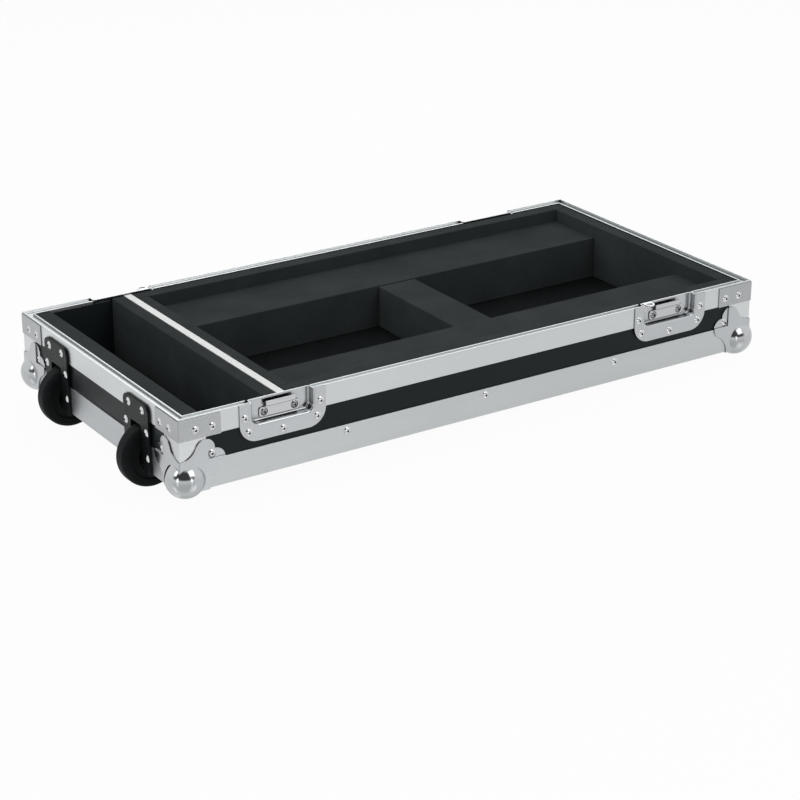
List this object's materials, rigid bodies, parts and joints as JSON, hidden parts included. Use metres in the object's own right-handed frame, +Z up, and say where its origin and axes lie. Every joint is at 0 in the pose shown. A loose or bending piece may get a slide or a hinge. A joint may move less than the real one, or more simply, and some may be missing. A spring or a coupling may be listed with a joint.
{
  "type": "guitar pedal case tray",
  "caption": "Shallow flight case base with aluminium edging, ball corners, latch recesses, tip wheels and foam fitted pockets for guitar pedals.",
  "frame": {"origin": "centre of the bounding box, on the plane that the tip wheels stand on", "axes": "+X along the length, from the wheeled end to the plain end; +Y from the front to the back; +Z up out of the tray"},
  "size_m": [0.8364, 0.412, 0.1135],
  "materials": {
    "laminate": "black textured laminate on plywood",
    "angle_aluminium": "satin anodised",
    "rim_aluminium": "satin anodised",
    "corner_steel": "zinc plated",
    "dish_steel": "zinc plated, drawn",
    "keeper_steel": "zinc plated",
    "rivet_steel": "bright",
    "bracket_black": "black powder coat",
    "tyre_rubber": "matt",
    "hub_nylon": "moulded",
    "foam": "closed cell foam",
    "white_board": "white board"
  },
  "bodies": {
    "case": {"bottom_panel": "laminate", "wall_front": "laminate", "wall_back": "laminate", "wall_left": "laminate", "wall_right": "laminate", "angle_bottom_front": "angle_aluminium", "angle_bottom_back": "angle_aluminium", "angle_bottom_left": "angle_aluminium", "angle_bottom_right": "angle_aluminium", "angle_corner_front_left": "angle_aluminium", "angle_corner_front_right": "angle_aluminium", "angle_corner_back_left": "angle_aluminium", "angle_corner_back_right": "angle_aluminium", "rim_front_left": "rim_aluminium", "rim_front_middle": "rim_aluminium", "rim_front_right": "rim_aluminium", "rim_back_left": "rim_aluminium", "rim_back_middle": "rim_aluminium", "rim_back_right": "rim_aluminium", "rim_left": "rim_aluminium", "rim_right": "rim_aluminium", "brace_front_left": "corner_steel", "brace_front_right": "corner_steel", "brace_back_left": "corner_steel", "brace_back_right": "corner_steel", "ball_corner_front_left": "corner_steel", "ball_corner_front_right": "corner_steel", "ball_corner_back_left": "corner_steel", "ball_corner_back_right": "corner_steel", "latch_dish_front_left": "dish_steel", "latch_dish_front_right": "dish_steel", "latch_dish_back_left": "dish_steel", "latch_dish_back_right": "dish_steel", "keeper_front_left": "keeper_steel", "keeper_front_right": "keeper_steel", "keeper_back_left": "keeper_steel", "keeper_back_right": "keeper_steel", "padlock_staples": "keeper_steel", "wheel_bracket_front": "bracket_black", "wheel_bracket_back": "bracket_black", "wheel_axles": "rivet_steel", "shell_rivets": "rivet_steel", "latch_rivets": "rivet_steel", "bracket_rivets": "rivet_steel", "divider_board": "white_board", "foam_end": "foam", "foam_bay": "foam", "foam_left": "foam", "foam_front": "foam", "foam_back": "foam", "foam_right": "foam", "foam_ledge_front": "foam", "foam_ledge_back": "foam", "foam_bar": "foam", "foam_floor": "foam"},
    "wheel_front": {"tyre_front": "tyre_rubber", "hub_front": "hub_nylon"},
    "wheel_back": {"tyre_back": "tyre_rubber", "hub_back": "hub_nylon"}
  },
  "joints": [
    {"name": "wheel_front_spin", "type": "hinge", "parent": "case", "child": "wheel_front", "pos_m": [-0.38025, -0.101, 0.038], "axis": [0, 1, 0], "continuous": true},
    {"name": "wheel_back_spin", "type": "hinge", "parent": "case", "child": "wheel_back", "pos_m": [-0.38025, 0.101, 0.038], "axis": [0, 1, 0], "continuous": true}
  ]
}
